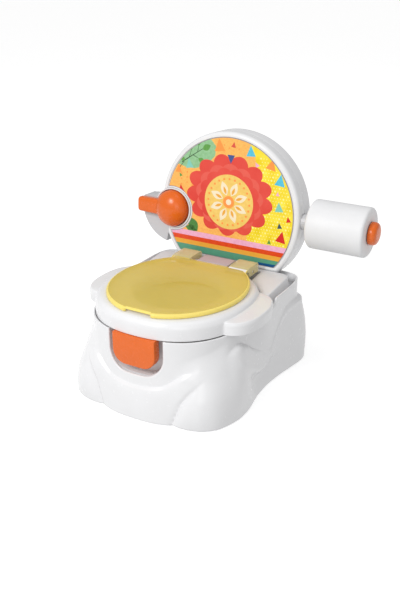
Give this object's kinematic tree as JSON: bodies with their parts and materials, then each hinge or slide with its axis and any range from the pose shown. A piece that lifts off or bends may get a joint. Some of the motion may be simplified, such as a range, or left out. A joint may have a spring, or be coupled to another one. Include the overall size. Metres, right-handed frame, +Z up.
{
  "type": "potty training chair",
  "caption": "Toddler potty chair: moulded base, lift-off seat ring with see-through hinged lid, lift-out bowl, round backrest with flush lever, side roll holder.",
  "frame": {"origin": "on the floor under the centre of the whole object's box", "axes": "+X to the right as seen from the front, where the roll is; +Y to the back; +Z up. The seat's plane of symmetry is X = -0.04225 and the seat ring's centre is at Y = -0.03985."},
  "size_m": [0.4346, 0.3642, 0.379],
  "materials": {
    "white_plastic": "glossy moulded",
    "soft_white_plastic": "satin moulded",
    "inner_white_plastic": "plain moulded",
    "orange_plastic": "glossy moulded",
    "clear_yellow_plastic": "see-through moulded",
    "printed_sheet": "printed",
    "roll_white": "smooth",
    "grey_rubber": "moulded",
    "steel": "plated",
    "green_board": "lacquered",
    "black_plastic": "plain",
    "battery_sleeve": "sleeve"
  },
  "bodies": {
    "root": {"base_shell": "white_plastic", "foot_front_left": "grey_rubber", "foot_front_right": "grey_rubber", "foot_rear_left": "grey_rubber", "foot_rear_right": "grey_rubber", "rear_deck": "soft_white_plastic", "deck_screw_left": "steel", "deck_screw_right": "steel", "backrest_front_shell": "white_plastic", "backrest_rear_shell": "white_plastic", "graphic_panel": "printed_sheet", "backrest_screw_upper_left": "steel", "backrest_screw_upper_right": "steel", "backrest_screw_lower_left": "steel", "backrest_screw_lower_right": "steel", "flush_housing": "soft_white_plastic", "flush_housing_back": "soft_white_plastic", "micro_switch": "black_plastic", "lever_spring": "steel", "circuit_board": "green_board", "speaker": "black_plastic", "battery_box": "inner_white_plastic", "battery_upper": "battery_sleeve", "battery_lower": "battery_sleeve", "spindle_socket": "white_plastic"},
    "seat": {"seat_ring": "white_plastic", "hinge_pin_left": "steel", "hinge_pin_right": "steel"},
    "lid": {"lid": "clear_yellow_plastic"},
    "bowl": {"potty_bowl": "soft_white_plastic", "bowl_grip": "orange_plastic"},
    "lever": {"flush_lever": "orange_plastic", "lever_shaft": "steel", "lever_cam": "black_plastic", "shaft_clip": "steel"},
    "spindle": {"roll_spindle": "soft_white_plastic", "spindle_knob": "orange_plastic"},
    "roll": {"paper_roll": "roll_white", "roll_core": "inner_white_plastic"},
    "battery_cover": {"battery_door": "soft_white_plastic", "battery_door_screw": "steel"}
  },
  "joints": [
    {"name": "ring_lift", "type": "slide", "parent": "root", "child": "seat", "axis": [0, 0, 1], "range_m": [0, 0.16]},
    {"name": "lid_hinge", "type": "hinge", "parent": "seat", "child": "lid", "pos_m": [-0.04225, 0.07695, 0.1655], "axis": [-1, 0, 0], "range_deg": [0, 94]},
    {"name": "bowl_lift", "type": "slide", "parent": "root", "child": "bowl", "axis": [0, 0, 1], "range_m": [0, 0.08]},
    {"name": "flush_lever_press", "type": "hinge", "parent": "root", "child": "lever", "pos_m": [-0.15065, 0.11951, 0.23542], "axis": [0, -0.9979, 0.0645], "range_deg": [0, 48], "stiffness_Nm_per_rad": 0.12, "springref_deg": -34.38},
    {"name": "spindle_pull", "type": "slide", "parent": "root", "child": "spindle", "axis": [1, 0, 0], "range_m": [0, 0.06]},
    {"name": "roll_spin", "type": "hinge", "parent": "spindle", "child": "roll", "pos_m": [0.10575, 0.13895, 0.2447], "axis": [1, 0, 0], "continuous": true},
    {"name": "battery_cover_open", "type": "hinge", "parent": "root", "child": "battery_cover", "pos_m": [-0.04225, 0.16995, 0.17544], "axis": [-1, 0, 0], "range_deg": [0, 105]}
  ],
  "couplings": [
    {"joint": "bowl_lift", "follows": "ring_lift", "ratio": 0.5}
  ]
}
